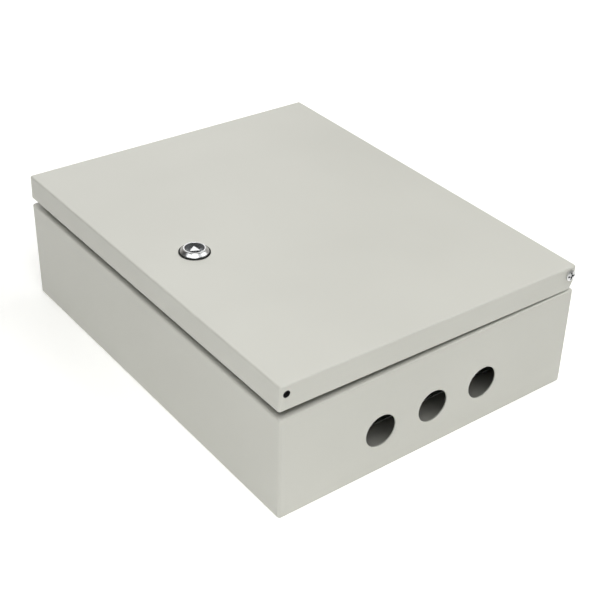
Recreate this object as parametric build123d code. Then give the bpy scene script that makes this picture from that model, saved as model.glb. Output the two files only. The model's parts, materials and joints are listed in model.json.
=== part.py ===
from build123d import *
from math import radians, sin
import os

# Wall-mount sheet-steel enclosure lying on its back, with its door ajar.
# The origin is the centre of the back's outer face: +X is the hinge side, +Y the cabinet's top end
# and +Z points out of the door. All lengths are in millimetres and all angles in degrees.

# Body: a sheet box whose walls fold in to a ledge, with a lip standing up round the opening
WIDTH = 310.0
HEIGHT = 395.0
DEPTH = 121.0
SHEET = 1.2
LEDGE_WIDTH = 16.0
LIP_HEIGHT = 12.8
CORNER_RADIUS = 2.6
BACK_FOLD_RADIUS = 1.8
LEDGE_FOLD_RADIUS = 1.6
LIP_CORNER_RADIUS = 4.0
LIP_FOLD_RADIUS = 1.2

# Holes in the body
ENTRY_DIAMETER = 30.5
ENTRY_PITCH = 55.0
ENTRY_HEIGHT = 41.2
WALL_HOLE_DIAMETER = 8.5
WALL_HOLE_INSET = 24.0

# Door: a folded tray as wide as the body and a little shorter, with a low flange on its hinge side
DOOR_END_INSET = 1.25
DOOR_GAP = 1.6
DOOR_FLANGE_DEPTH = 22.2
DOOR_HINGE_FLANGE_DEPTH = 8.5
DOOR_FOLD_RADIUS = 1.6
DOOR_CORNER_RADIUS = 1.8
DOOR_SLANT_DEPTH = 11.0
DOOR_SLANT_INSET = 5.0
AJAR_ANGLE = 1.2

# Gasket on the door's inner face, over the lip
GASKET_WIDTH = 10.0
GASKET_SQUEEZE = 0.15
GASKET_CORNER_RADIUS = 8.0

# Hinges: a shouldered screw through the door's end flange into a bracket on the end ledge
HINGE_INSET = 6.5
HINGE_DROP = 8.0
HINGE_SHOULDER_DIAMETER = 6.5
HINGE_CLEARANCE = 0.05
HINGE_THREAD_DIAMETER = 4.9
HINGE_HEAD_DIAMETER = 9.6
HINGE_HEAD_HEIGHT = 2.1
HINGE_HEAD_BEVEL = 0.7
HINGE_HEAD_GAP = 0.3
HINGE_THREAD_LENGTH = 6.0
BRACKET_SHEET = 2.0
BRACKET_GAP = 1.05
BRACKET_EYE_DIAMETER = 9.0
BRACKET_ARM_WIDTH = 7.0
BRACKET_STEM_OFFSET = 8.5
BRACKET_STEM_WIDTH = 16.0
BRACKET_FOOT_DEPTH = 10.5

# Quarter-turn lock a little below mid height; its heights count from the door's outer face
LOCK_INSET = 52.3
LOCK_DROP = 2.2
LOCK_HOLE_DIAMETER = 20.5
LOCK_SEAL_DIAMETER = 27.5
LOCK_SEAL_THICKNESS = 0.8
LOCK_FLANGE_DIAMETER = 24.8
LOCK_FLANGE_EDGE = 0.7
LOCK_RIM_DIAMETER = 19.4
LOCK_RIM_HEIGHT = 0.7
LOCK_RISE = 4.5
LOCK_WELL_DIAMETER = 16.8
LOCK_WELL_DEPTH = 8.0
LOCK_STEM_DIAMETER = 20.0
LOCK_STEM_DEPTH = 18.0
LOCK_NUT_FLATS = 27.0
LOCK_NUT_THICKNESS = 5.0
DRIVER_SHAFT_DIAMETER = 9.9
DRIVER_DISC_DIAMETER = 16.0
DRIVER_DISC_THICKNESS = 1.9
DRIVER_POST_RADIUS = 5.3
DRIVER_POST_RISE = 3.0
DRIVER_POST_ROUND = 0.6
DRIVER_POST_ANGLE = 66.0
DRIVER_SQUARE = 6.9
DRIVER_GAP = 0.1
CLIP_DIAMETER = 16.0
CLIP_THICKNESS = 1.2
CAM_THICKNESS = 3.0
CAM_WIDTH = 18.0
CAM_GRIP = 7.0
CAM_CLEARANCE = 1.0
CAM_WASHER_DIAMETER = 16.0
CAM_SCREW_DIAMETER = 5.0
CAM_SCREW_LENGTH = 12.0
CAM_SCREW_FLATS = 8.0
CAM_SCREW_HEAD = 3.5

# Mounting plate on four studs
PLATE_MARGIN = 33.0
PLATE_SHEET = 1.5
PLATE_LEVEL = 15.0
PLATE_CORNER_RADIUS = 5.0
PLATE_STUD_INSET = 14.0
PLATE_STUD_TOP = 26.0

# Common fasteners
STUD_DIAMETER = 6.0
STUD_HOLE_DIAMETER = 6.6
NUT_FLATS = 10.0
NUT_THICKNESS = 5.0
WASHER_DIAMETER = 12.0
WASHER_BORE = 6.4
WASHER_THICKNESS = 1.6

# Earth studs
EARTH_STUD_LENGTH = 18.0
EARTH_RISE = 77.5
BODY_EARTH_INSET = 17.0
DOOR_EARTH_INSET = 39.0

# Sizes and places worked out from those above; a door piece's are those of the closed door
OPENING_X = WIDTH - 2 * (LEDGE_WIDTH + SHEET)
OPENING_Y = HEIGHT - 2 * (LEDGE_WIDTH + SHEET)
DOOR_WIDTH = WIDTH
DOOR_HEIGHT = HEIGHT - 2 * DOOR_END_INSET
DOOR_INSIDE = DEPTH - SHEET
DOOR_FLANGE_LOW = DEPTH - DOOR_FLANGE_DEPTH
LEDGE_TOP = DOOR_FLANGE_LOW - DOOR_GAP
LIP_TOP = LEDGE_TOP + LIP_HEIGHT
HINGE_X = DOOR_WIDTH / 2 - HINGE_INSET
HINGE_Z = DEPTH - HINGE_DROP
BRACKET_Y = DOOR_HEIGHT / 2 - SHEET - BRACKET_GAP
LOCK_X = LOCK_INSET - DOOR_WIDTH / 2
PLATE_WIDTH = WIDTH - 2 * PLATE_MARGIN
PLATE_HEIGHT = HEIGHT - 2 * PLATE_MARGIN
EARTH_Y = EARTH_RISE - HEIGHT / 2
# The cam reaches under the ledge, and in the resting door it turns just clear below it
CAM_REACH = LOCK_X + OPENING_X / 2 + SHEET + CAM_GRIP
CAM_LIFT = (HINGE_X - LOCK_X + CAM_REACH) * sin(radians(AJAR_ANGLE))
CAM_DEPTH = DEPTH - LEDGE_TOP + SHEET + CAM_LIFT + CAM_CLEARANCE
ENDS = {"lower": -1, "upper": 1}
CORNERS = [(-1, -1), (1, -1), (1, 1), (-1, 1)]
STANDING = (Align.CENTER, Align.CENTER, Align.MIN)

os.makedirs("parts", exist_ok=True)


def save(piece, node):
    export_step(piece, f"parts/{node}.step")


def rod(diameter, low, high):
    return Pos(0, 0, low) * Cylinder(diameter / 2, high - low, align=STANDING)


def ring(diameter, bore, low, high):
    return rod(diameter, low, high) - rod(bore, low, high)


def hexagon(flats, low, high):
    outline = RegularPolygon(flats / 2, side_count=6, major_radius=False)
    return extrude(Pos(0, 0, low) * outline, high - low)


def slab(size_x, size_y, low, high, corner):
    return extrude(Pos(0, 0, low) * RectangleRounded(size_x, size_y, corner), high - low)


def rim_edges(piece, low_end):
    faces = piece.faces().sort_by(Axis.Z)
    return (faces[0] if low_end else faces[-1]).edges()


def hinged(piece):
    """Turn a piece of the closed door about the hinge axis to the door's resting place."""
    return Pos(HINGE_X, 0, HINGE_Z) * Rot(0, AJAR_ANGLE, 0) * Pos(-HINGE_X, 0, -HINGE_Z) * piece


def on_lock(piece):
    """Place a lock piece, drawn about the origin, on the door's outer face."""
    return hinged(Pos(LOCK_X, -LOCK_DROP, DEPTH) * piece)


def folded_shell():
    """The whole body in one piece: box, ledge and lip, all one sheet thick."""
    outside = slab(WIDTH, HEIGHT, 0, LEDGE_TOP, CORNER_RADIUS)
    outside = fillet(rim_edges(outside, True), BACK_FOLD_RADIUS)
    outside = fillet(rim_edges(outside, False), LEDGE_FOLD_RADIUS)
    inner_corner = CORNER_RADIUS - SHEET
    inside = slab(WIDTH - 2 * SHEET, HEIGHT - 2 * SHEET, SHEET, LEDGE_TOP - SHEET, inner_corner)
    inside = fillet(rim_edges(inside, True), BACK_FOLD_RADIUS - SHEET)
    inside = fillet(rim_edges(inside, False), LEDGE_FOLD_RADIUS - SHEET)
    lip_x = OPENING_X + 2 * SHEET
    lip_y = OPENING_Y + 2 * SHEET
    lip = slab(lip_x, lip_y, LEDGE_TOP - SHEET, LIP_TOP, LIP_CORNER_RADIUS)
    opening = slab(OPENING_X, OPENING_Y, LEDGE_TOP - 2 * SHEET, LIP_TOP, LIP_CORNER_RADIUS - SHEET)
    shell = outside - inside + lip - opening
    for level, radius in ((LEDGE_TOP, LIP_FOLD_RADIUS), (LEDGE_TOP - SHEET, LIP_FOLD_RADIUS + SHEET)):
        fold = [edge for edge in shell.edges().filter_by_position(Axis.Z, level, level)
                if abs(edge.center().X) <= lip_x / 2 and abs(edge.center().Y) <= lip_y / 2]
        shell = fillet(fold, radius)
    return shell


def end_region(end):
    """Space of one end wall: between its two corner mitres, above the back's fold."""
    half_x = WIDTH / 2
    half_y = HEIGHT / 2 * end
    reach = LEDGE_WIDTH + 2 * SHEET
    outline = Polyline(
        (-half_x, half_y),
        (half_x, half_y),
        (half_x - reach, half_y - end * reach),
        (reach - half_x, half_y - end * reach),
        close=True,
    )
    return extrude(Pos(0, 0, BACK_FOLD_RADIUS) * make_face(outline), LIP_TOP)


def build_body():
    shell = folded_shell()
    wrap = shell - end_region(1) - end_region(-1)
    for side_x, side_y in CORNERS:
        place = Pos(side_x * (WIDTH / 2 - WALL_HOLE_INSET), side_y * (HEIGHT / 2 - WALL_HOLE_INSET), 0)
        wrap -= place * rod(WALL_HOLE_DIAMETER, 0, SHEET)
    save(wrap, "body_wrap")
    save(shell & end_region(1), "top_end_wall")
    bottom = shell & end_region(-1)
    for step in (-1, 0, 1):
        entry = Cylinder(ENTRY_DIAMETER / 2, 2 * BACK_FOLD_RADIUS)
        bottom -= Pos(step * ENTRY_PITCH, -HEIGHT / 2, ENTRY_HEIGHT) * Rot(X=90) * entry
    save(bottom, "bottom_end_wall")


def build_mounting_plate():
    plate = slab(PLATE_WIDTH, PLATE_HEIGHT, PLATE_LEVEL, PLATE_LEVEL + PLATE_SHEET, PLATE_CORNER_RADIUS)
    washer_low = PLATE_LEVEL + PLATE_SHEET
    nut_low = washer_low + WASHER_THICKNESS
    stud = rod(STUD_DIAMETER, SHEET, PLATE_STUD_TOP)
    spacer = hexagon(NUT_FLATS, PLATE_LEVEL - NUT_THICKNESS, PLATE_LEVEL)
    spacer -= rod(STUD_DIAMETER, PLATE_LEVEL - NUT_THICKNESS, PLATE_LEVEL)
    washer = ring(WASHER_DIAMETER, WASHER_BORE, washer_low, nut_low)
    nut = hexagon(NUT_FLATS, nut_low, nut_low + NUT_THICKNESS)
    nut -= rod(STUD_DIAMETER, nut_low, nut_low + NUT_THICKNESS)
    stud_x = PLATE_WIDTH / 2 - PLATE_STUD_INSET
    stud_y = PLATE_HEIGHT / 2 - PLATE_STUD_INSET
    for number, (side_x, side_y) in enumerate(CORNERS, 1):
        place = Pos(side_x * stud_x, side_y * stud_y, 0)
        plate -= place * rod(STUD_HOLE_DIAMETER, PLATE_LEVEL, washer_low)
        save(place * stud, f"plate_stud_{number}")
        save(place * spacer, f"plate_spacer_nut_{number}")
        save(place * washer, f"plate_washer_{number}")
        save(place * nut, f"plate_nut_{number}")
    save(plate, "mounting_plate")


def earth_set():
    """Stud, washer and nut of an earth point standing on a face at height zero."""
    stud = rod(STUD_DIAMETER, 0, EARTH_STUD_LENGTH)
    washer = ring(WASHER_DIAMETER, WASHER_BORE, 0, WASHER_THICKNESS)
    nut_top = WASHER_THICKNESS + NUT_THICKNESS
    nut = hexagon(NUT_FLATS, WASHER_THICKNESS, nut_top) - rod(STUD_DIAMETER, WASHER_THICKNESS, nut_top)
    return {"stud": stud, "washer": washer, "nut": nut}


def build_earth_points():
    for name, piece in earth_set().items():
        save(Pos(WIDTH / 2 - BODY_EARTH_INSET, EARTH_Y, SHEET) * piece, f"body_earth_{name}")
        on_door = Pos(DOOR_WIDTH / 2 - DOOR_EARTH_INSET, EARTH_Y, DOOR_INSIDE) * Rot(X=180)
        save(hinged(on_door * piece), f"door_earth_{name}")


def build_door():
    tray = slab(DOOR_WIDTH, DOOR_HEIGHT, DOOR_FLANGE_LOW, DEPTH, DOOR_CORNER_RADIUS)
    tray = fillet(rim_edges(tray, False), DOOR_FOLD_RADIUS)
    inner_x = DOOR_WIDTH - 2 * SHEET
    inner_y = DOOR_HEIGHT - 2 * SHEET
    hollow = Box(inner_x, inner_y, DOOR_INSIDE - DOOR_FLANGE_LOW, align=STANDING)
    hollow = fillet(rim_edges(hollow, False), DOOR_FOLD_RADIUS - SHEET)
    tray -= Pos(0, 0, DOOR_FLANGE_LOW) * hollow
    hinge_flange_cut = DOOR_FLANGE_DEPTH - DOOR_HINGE_FLANGE_DEPTH
    cut = Box(2 * DOOR_CORNER_RADIUS, inner_y, hinge_flange_cut, align=STANDING)
    tray -= Pos(DOOR_WIDTH / 2, 0, DOOR_FLANGE_LOW) * cut
    edge_x = DOOR_WIDTH / 2
    slant = Polyline(
        (edge_x, DOOR_FLANGE_LOW + DOOR_SLANT_DEPTH),
        (edge_x + SHEET, DOOR_FLANGE_LOW + DOOR_SLANT_DEPTH),
        (edge_x + SHEET, DOOR_FLANGE_LOW),
        (edge_x - DOOR_SLANT_INSET, DOOR_FLANGE_LOW),
        close=True,
    )
    tray -= extrude(Plane.XZ * make_face(slant), DOOR_HEIGHT, both=True)
    pivot = Rot(X=90) * Cylinder(HINGE_SHOULDER_DIAMETER / 2 + HINGE_CLEARANCE, 2 * DOOR_HEIGHT)
    for side in (-1, 1):
        tray -= Pos(side * HINGE_X, 0, HINGE_Z) * pivot
    tray -= Pos(LOCK_X, -LOCK_DROP, 0) * rod(LOCK_HOLE_DIAMETER, DOOR_INSIDE, DEPTH)
    save(hinged(tray), "door_panel")


def build_gasket():
    centre_x = OPENING_X + SHEET
    centre_y = OPENING_Y + SHEET
    low = LIP_TOP - GASKET_SQUEEZE
    outer = slab(centre_x + GASKET_WIDTH, centre_y + GASKET_WIDTH, low, DOOR_INSIDE, GASKET_CORNER_RADIUS)
    bore_corner = GASKET_CORNER_RADIUS / 2
    inner = slab(centre_x - GASKET_WIDTH, centre_y - GASKET_WIDTH, low, DOOR_INSIDE, bore_corner)
    save(hinged(outer - inner), "door_gasket")


def hinge_screw():
    """Shouldered pan-head screw along Z: the shoulder stands on the bracket's face at height zero."""
    head_low = BRACKET_GAP + SHEET + HINGE_HEAD_GAP
    head_high = head_low + HINGE_HEAD_HEIGHT
    head = rod(HINGE_HEAD_DIAMETER, head_low, head_high)
    head = chamfer(rim_edges(head, False), HINGE_HEAD_BEVEL)
    shoulder = rod(HINGE_SHOULDER_DIAMETER, 0, head_low)
    return head + shoulder + rod(HINGE_THREAD_DIAMETER, -HINGE_THREAD_LENGTH, 0)


def hinge_bracket():
    """Bracket of the upper end: an upright plate with an arm to the hinge's eye, on a folded foot."""
    arm_low = HINGE_Z - BRACKET_ARM_WIDTH / 2
    arm_high = HINGE_Z + BRACKET_ARM_WIDTH / 2
    stem_right = HINGE_X - BRACKET_STEM_OFFSET
    stem_left = stem_right - BRACKET_STEM_WIDTH
    outline = Polyline(
        (stem_left, LEDGE_TOP),
        (stem_right, LEDGE_TOP),
        (stem_right, arm_low),
        (HINGE_X, arm_low),
        (HINGE_X, arm_high),
        (stem_left, arm_high),
        close=True,
    )
    eye = Pos(HINGE_X, HINGE_Z) * Circle(BRACKET_EYE_DIAMETER / 2)
    hole = Pos(HINGE_X, HINGE_Z) * Circle(HINGE_THREAD_DIAMETER / 2)
    plane = Plane.XZ.offset(-BRACKET_Y)
    plate = extrude(plane * (make_face(outline) + eye - hole), BRACKET_SHEET)
    foot = Box(BRACKET_STEM_WIDTH, BRACKET_FOOT_DEPTH, BRACKET_SHEET, align=(Align.MIN, Align.MAX, Align.MIN))
    return plate + Pos(stem_left, BRACKET_Y, LEDGE_TOP) * foot


def build_hinges():
    bracket = hinge_bracket()
    screw = hinge_screw()
    for name, end in ENDS.items():
        placed = bracket if end > 0 else mirror(bracket, about=Plane.XZ)
        save(placed, f"hinge_bracket_{name}")
        save(Pos(HINGE_X, end * BRACKET_Y, HINGE_Z) * Rot(X=-90 * end) * screw, f"hinge_screw_{name}")


def lock_housing():
    well = LOCK_WELL_DIAMETER / 2
    rim = LOCK_RIM_DIAMETER / 2
    flange = LOCK_FLANGE_DIAMETER / 2
    stem = LOCK_STEM_DIAMETER / 2
    bore = DRIVER_SHAFT_DIAMETER / 2 + HINGE_CLEARANCE
    flange_low = LOCK_SEAL_THICKNESS
    flange_high = flange_low + LOCK_FLANGE_EDGE
    profile = Polyline(
        (well, LOCK_RISE),
        (rim, LOCK_RISE),
        (rim, LOCK_RISE - LOCK_RIM_HEIGHT),
        (flange, flange_high),
        (flange, flange_low),
        (stem, flange_low),
        (stem, -LOCK_STEM_DEPTH),
        (bore, -LOCK_STEM_DEPTH),
        (bore, -LOCK_WELL_DEPTH),
        (well, -LOCK_WELL_DEPTH),
        close=True,
    )
    return revolve(Plane.XZ * make_face(profile), Axis.Z)


def lock_driver():
    disc_low = DRIVER_GAP - LOCK_WELL_DEPTH
    disc_high = disc_low + DRIVER_DISC_THICKNESS
    disc = rod(DRIVER_DISC_DIAMETER, disc_low, disc_high)
    triangle = RegularPolygon(DRIVER_POST_RADIUS, side_count=3)
    triangle = fillet(triangle.vertices(), DRIVER_POST_ROUND)
    post = extrude(Pos(0, 0, disc_high) * Rot(Z=DRIVER_POST_ANGLE) * triangle, DRIVER_POST_RISE - disc_high)
    shaft = rod(DRIVER_SHAFT_DIAMETER, -CAM_DEPTH, disc_low)
    square = Box(DRIVER_SQUARE, DRIVER_SQUARE, CAM_THICKNESS, align=STANDING)
    driver = disc + post + shaft + Pos(0, 0, -CAM_DEPTH - CAM_THICKNESS) * square
    screw_low = -CAM_DEPTH - CAM_SCREW_LENGTH
    return driver - rod(CAM_SCREW_DIAMETER, screw_low, screw_low + 2 * CAM_SCREW_LENGTH)


def build_lock():
    seal = ring(LOCK_SEAL_DIAMETER, LOCK_STEM_DIAMETER, 0, LOCK_SEAL_THICKNESS)
    save(on_lock(seal), "lock_seal")
    save(on_lock(lock_housing()), "lock_housing")
    nut = hexagon(LOCK_NUT_FLATS, -SHEET - LOCK_NUT_THICKNESS, -SHEET)
    nut -= rod(LOCK_STEM_DIAMETER, -SHEET - LOCK_NUT_THICKNESS, -SHEET)
    save(on_lock(nut), "lock_nut")
    save(on_lock(lock_driver()), "lock_driver")
    clip_high = -LOCK_STEM_DEPTH - DRIVER_GAP
    clip = ring(CLIP_DIAMETER, DRIVER_SHAFT_DIAMETER, clip_high - CLIP_THICKNESS, clip_high)
    save(on_lock(clip), "driver_clip")


def build_cam():
    cam_low = -CAM_DEPTH - CAM_THICKNESS
    centres = CAM_REACH - CAM_WIDTH / 2
    outline = Pos(0, centres / 2) * Rot(Z=90) * SlotCenterToCenter(centres, CAM_WIDTH)
    outline -= Rectangle(DRIVER_SQUARE, DRIVER_SQUARE)
    save(on_lock(extrude(Pos(0, 0, cam_low) * outline, CAM_THICKNESS)), "lock_cam")
    washer_low = cam_low - WASHER_THICKNESS
    save(on_lock(ring(CAM_WASHER_DIAMETER, CAM_SCREW_DIAMETER, washer_low, cam_low)), "cam_washer")
    screw = hexagon(CAM_SCREW_FLATS, washer_low - CAM_SCREW_HEAD, washer_low)
    screw += rod(CAM_SCREW_DIAMETER, washer_low, -CAM_DEPTH + CAM_SCREW_LENGTH)
    save(on_lock(screw), "cam_screw")


build_body()
build_mounting_plate()
build_earth_points()
build_door()
build_gasket()
build_hinges()
build_lock()
build_cam()
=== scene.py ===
import json
from math import radians

import bpy
import numpy as np
from mathutils import Matrix, Vector


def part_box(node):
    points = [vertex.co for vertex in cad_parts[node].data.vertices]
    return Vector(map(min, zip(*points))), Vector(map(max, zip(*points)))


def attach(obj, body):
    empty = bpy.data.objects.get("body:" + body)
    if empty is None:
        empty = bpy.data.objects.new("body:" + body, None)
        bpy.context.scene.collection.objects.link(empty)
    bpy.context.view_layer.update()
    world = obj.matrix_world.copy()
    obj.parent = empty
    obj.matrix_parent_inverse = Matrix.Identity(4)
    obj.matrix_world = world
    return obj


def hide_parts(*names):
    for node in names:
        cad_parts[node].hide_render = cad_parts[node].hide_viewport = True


# Wall-mount sheet-steel enclosure lying on its back, with its door ajar. The frame is the CAD's, in metres:
# the origin is the centre of the back, +X the hinge side, +Y the top end and +Z out of the door.
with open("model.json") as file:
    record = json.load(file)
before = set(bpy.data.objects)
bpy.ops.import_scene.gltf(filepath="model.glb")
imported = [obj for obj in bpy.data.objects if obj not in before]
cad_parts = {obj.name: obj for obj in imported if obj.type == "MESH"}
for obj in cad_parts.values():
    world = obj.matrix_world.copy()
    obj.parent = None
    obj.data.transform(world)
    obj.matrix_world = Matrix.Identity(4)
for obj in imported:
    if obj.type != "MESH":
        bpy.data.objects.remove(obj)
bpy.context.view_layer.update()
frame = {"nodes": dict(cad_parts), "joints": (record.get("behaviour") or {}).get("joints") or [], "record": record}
nodes = frame["nodes"]

# Body: a box of 1.2 mm sheet steel, with its walls folded in to a ledge and up to a lip round the opening.
# The end walls are welded in and ground flush before coating, so the coated body is one unbroken skin.
# The cable entries are punched in the bottom wall and four wall holes in the back.
MM = 0.001
SHEET = 1.2 * MM
LEDGE_WIDTH = 16.0 * MM
LIP_HEIGHT = 12.8 * MM
CORNER_RADIUS = 2.6 * MM
BACK_FOLD_RADIUS = 1.8 * MM
LEDGE_FOLD_RADIUS = 1.6 * MM
LIP_CORNER_RADIUS = 4.0 * MM
LIP_FOLD_RADIUS = 1.2 * MM
BACK_MARGIN = 10.0 * MM
ENTRY_RADIUS = 15.25 * MM
ENTRY_PUNCH_REACH = 10.0 * MM
ENTRY_COLUMNS = 96
WALL_HOLE_RADIUS = 4.25 * MM
WALL_PUNCH_REACH = 5.0 * MM
WALL_HOLE_COLUMNS = 48
SHEARED_EDGE = 0.25 * MM
SHARP_ANGLE = 35
EASED_ANGLE = 40
BODY_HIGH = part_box("body_wrap")[1]
HALF_WIDTH = BODY_HIGH.x
HALF_HEIGHT = BODY_HIGH.y
LIP_TOP = BODY_HIGH.z
LEDGE_TOP = LIP_TOP - LIP_HEIGHT


def bend(centre, radius, start, end, steps=7):
    """A bend in a section: the points centre + radius * (cos a, sin a), where a runs from start to end, in
    degrees."""
    angle = np.radians(np.linspace(start, end, steps))
    return np.stack([centre[0] + radius * np.cos(angle), centre[1] + radius * np.sin(angle)], axis=1)


def carry_round(section, radius, half_x, half_y, steps=8, run=1):
    """Carries a section of (inset, height) points round a rectangle with rounded corners. In each corner a
    point turns about a centre that lies its inset plus its own corner radius in from both sides. Between the
    corners it runs straight, in as many parts as run says. Gives a grid of section points by stations."""
    turn = np.linspace(0, np.pi / 2, steps + 1)
    angle = (np.arange(4)[:, None] * np.pi / 2 + turn).ravel()
    outward = np.stack([np.cos(angle), np.sin(angle)], axis=1)
    corner = np.repeat([(1, 1), (-1, 1), (-1, -1), (1, -1)], steps + 1, axis=0)
    inset, height = np.asarray(section).T
    centre = corner * (np.array([half_x, half_y]) - (inset + radius)[:, None])[:, None]
    plan = centre + outward * np.asarray(radius)[:, None, None]
    grid = np.concatenate([plan, np.broadcast_to(height[:, None, None], plan.shape[:2] + (1,))], axis=2)
    on_corner = np.arange(steps)[:, None] + (steps + 1) * np.arange(4)
    on_run = np.arange(run)[:, None] / run + steps + (steps + 1) * np.arange(4)
    station = np.sort(np.concatenate([on_corner.ravel(), on_run.ravel()]))
    before = station.astype(int)
    share = (station - before)[None, :, None]
    return grid[:, before] * (1 - share) + grid[:, (before + 1) % grid.shape[1]] * share


def piece(name, grid, ring=False):
    """A closed piece from a grid of points. Each row closes on itself and is joined by quads to the next. In
    a ring the last row joins the first, otherwise the first and last rows are capped. Where the sum of the
    corner products, six times the volume, is negative, all the faces are turned round to point outwards."""
    rows, columns = grid.shape[:2]
    row, column = np.mgrid[0 : rows - 1 + ring, 0:columns]
    beside = (column + 1) % columns
    below = (row + 1) % rows
    quads = np.stack([row * columns + column, row * columns + beside, below * columns + beside,
                      below * columns + column], axis=-1).reshape(-1, 4)
    faces = quads.tolist()
    if not ring:
        faces += [list(range(columns))[::-1], list(range((rows - 1) * columns, rows * columns))]
    points = grid.reshape(-1, 3)
    fan = np.array([(face[0], face[i], face[i + 1]) for face in faces for i in range(1, len(face) - 1)])
    first, second, third = points[fan.T]
    if np.einsum("ij,ij->", first, np.cross(second, third)) < 0:
        faces = [face[::-1] for face in faces]
    mesh = bpy.data.meshes.new(name)
    mesh.from_pydata(points.tolist(), [], faces)
    mesh.shade_smooth()
    mesh.set_sharp_from_angle(angle=radians(SHARP_ANGLE))
    made = bpy.data.objects.new(name, mesh)
    bpy.context.scene.collection.objects.link(made)
    return made


def turned(radius, height, columns=64):
    """A shape round Z: each row is a loop of radius times (cos, sin) of the angle at its height. Both may be
    one number for the row or one for each angle."""
    angle = np.linspace(0, 2 * np.pi, columns, endpoint=False)
    radius = np.reshape(radius, (len(radius), -1)) + 0 * angle
    height = np.reshape(height, (len(height), -1)) + 0 * angle
    return np.stack([radius * np.cos(angle), radius * np.sin(angle), height], axis=2)


def cut(made, *cutters):
    """Takes the cutters out of a piece, one exact boolean each, and keeps the result as the piece's mesh."""
    for cutter in cutters:
        tool = made.modifiers.new("cut", "BOOLEAN")
        tool.operation = "DIFFERENCE"
        tool.solver = "EXACT"
        tool.object = cutter
    whole = made.data
    made.data = bpy.data.meshes.new_from_object(made.evaluated_get(bpy.context.evaluated_depsgraph_get()))
    made.modifiers.clear()
    bpy.data.meshes.remove(whole)
    for cutter in cutters:
        bpy.data.objects.remove(cutter)


def ease_edges(made, width):
    """Rounds the edges that turn by more than the eased angle, then weights the normals by face area."""
    rounding = made.modifiers.new("eased_edges", "BEVEL")
    rounding.width = width
    rounding.segments = 2
    rounding.limit_method = "ANGLE"
    rounding.angle_limit = radians(EASED_ANGLE)
    made.modifiers.new("flat_faces", "WEIGHTED_NORMAL").keep_sharp = True


ledge_fold = (LEDGE_FOLD_RADIUS, LEDGE_TOP - LEDGE_FOLD_RADIUS)
lip_fold = (LEDGE_WIDTH - LIP_FOLD_RADIUS, LEDGE_TOP + LIP_FOLD_RADIUS)
back_fold = (BACK_FOLD_RADIUS, BACK_FOLD_RADIUS)
body_section = np.concatenate([
    [(BACK_MARGIN, 0)],
    bend(back_fold, BACK_FOLD_RADIUS, 270, 180),
    bend(ledge_fold, LEDGE_FOLD_RADIUS, 180, 90),
    bend(lip_fold, LIP_FOLD_RADIUS, 270, 360),
    [(LEDGE_WIDTH, LIP_TOP), (LEDGE_WIDTH + SHEET, LIP_TOP)],
    bend(lip_fold, LIP_FOLD_RADIUS + SHEET, 360, 270),
    bend(ledge_fold, LEDGE_FOLD_RADIUS - SHEET, 90, 180),
    bend(back_fold, BACK_FOLD_RADIUS - SHEET, 180, 270),
    [(BACK_MARGIN, SHEET)],
])
section_inset = body_section[:, 0]
body_corner = np.where(section_inset < LEDGE_WIDTH / 2, CORNER_RADIUS - section_inset,
                       LIP_CORNER_RADIUS + LEDGE_WIDTH - section_inset)
body = piece("body_skin", carry_round(body_section, body_corner, HALF_WIDTH, HALF_HEIGHT))
along_y = Matrix.Rotation(radians(90), 4, "X")
punches = []
for mount in frame["record"]["mounts"]:
    if mount["kind"] == "bore":
        reach = [-ENTRY_PUNCH_REACH, ENTRY_PUNCH_REACH]
        punch = piece("entry_punch", turned([ENTRY_RADIUS] * 2, reach, ENTRY_COLUMNS))
        punch.data.transform(Matrix.Translation(mount["pos_m"]) @ along_y)
        punches.append(punch)
    if mount["kind"] == "bolt_pattern":
        reach = [-WALL_PUNCH_REACH, WALL_PUNCH_REACH]
        from_middle_x = mount["dims"]["spacing_x_mm"] / 2 * MM
        from_middle_y = mount["dims"]["spacing_y_mm"] / 2 * MM
        for side_x, side_y in ((-1, -1), (-1, 1), (1, -1), (1, 1)):
            punch = piece("wall_hole_punch", turned([WALL_HOLE_RADIUS] * 2, reach, WALL_HOLE_COLUMNS))
            punch.data.transform(Matrix.Translation((side_x * from_middle_x, side_y * from_middle_y, 0)))
            punches.append(punch)
cut(body, *punches)
ease_edges(body, SHEARED_EDGE)
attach(body, "cabinet")
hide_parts("body_wrap", "top_end_wall", "bottom_end_wall")

# Polyester powder coat, sprayed dry and baked: it gives an even warm light grey with a satin sheen, and a
# faint orange-peel ripple that breaks up the highlights along the folds. The real ripple is about 1 mm
# across and is drawn coarser here so that it shows.
COAT_LIGHT = "#C7C7BF"
COAT_DARK = "#C4C4BC"
COAT_DRIFT = 140 * MM
COAT_DRIFT_ENDS = (0.35, 0.65)
COAT_ROUGHNESS = (0.40, 0.48)
COAT_IOR = 1.5
PEEL_WIDTH = 2.4 * MM
PEEL_DEPTH = 0.03 * MM
PEEL_STRENGTH = 0.5


def linear(hex_colour):
    """sRGB to linear: a channel c is c / 12.92 up to 0.04045, and ((c + 0.055) / 1.055) to the power 2.4
    above that."""
    channel = np.array([int(hex_colour[i : i + 2], 16) for i in (1, 3, 5)]) / 255
    value = np.where(channel <= 0.04045, channel / 12.92, ((channel + 0.055) / 1.055) ** 2.4)
    return (*value.tolist(), 1.0)


def add(tree, kind, inputs=None, **settings):
    """Adds a node of this kind, with its settings, and with each named input set to a value or linked to a
    socket."""
    node = tree.nodes.new(kind)
    for name, value in settings.items():
        setattr(node, name, value)
    for name, value in (inputs or {}).items():
        if isinstance(value, bpy.types.NodeSocket):
            tree.links.new(value, node.inputs[name])
        else:
            node.inputs[name].default_value = value
    return node


def new_finish(name):
    """A material with its node tree, its principled shader and the socket of its Object coordinates."""
    finish = bpy.data.materials.new(name)
    finish.use_nodes = True
    tree = finish.node_tree
    return finish, tree, tree.nodes["Principled BSDF"], add(tree, "ShaderNodeTexCoord").outputs["Object"]


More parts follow.
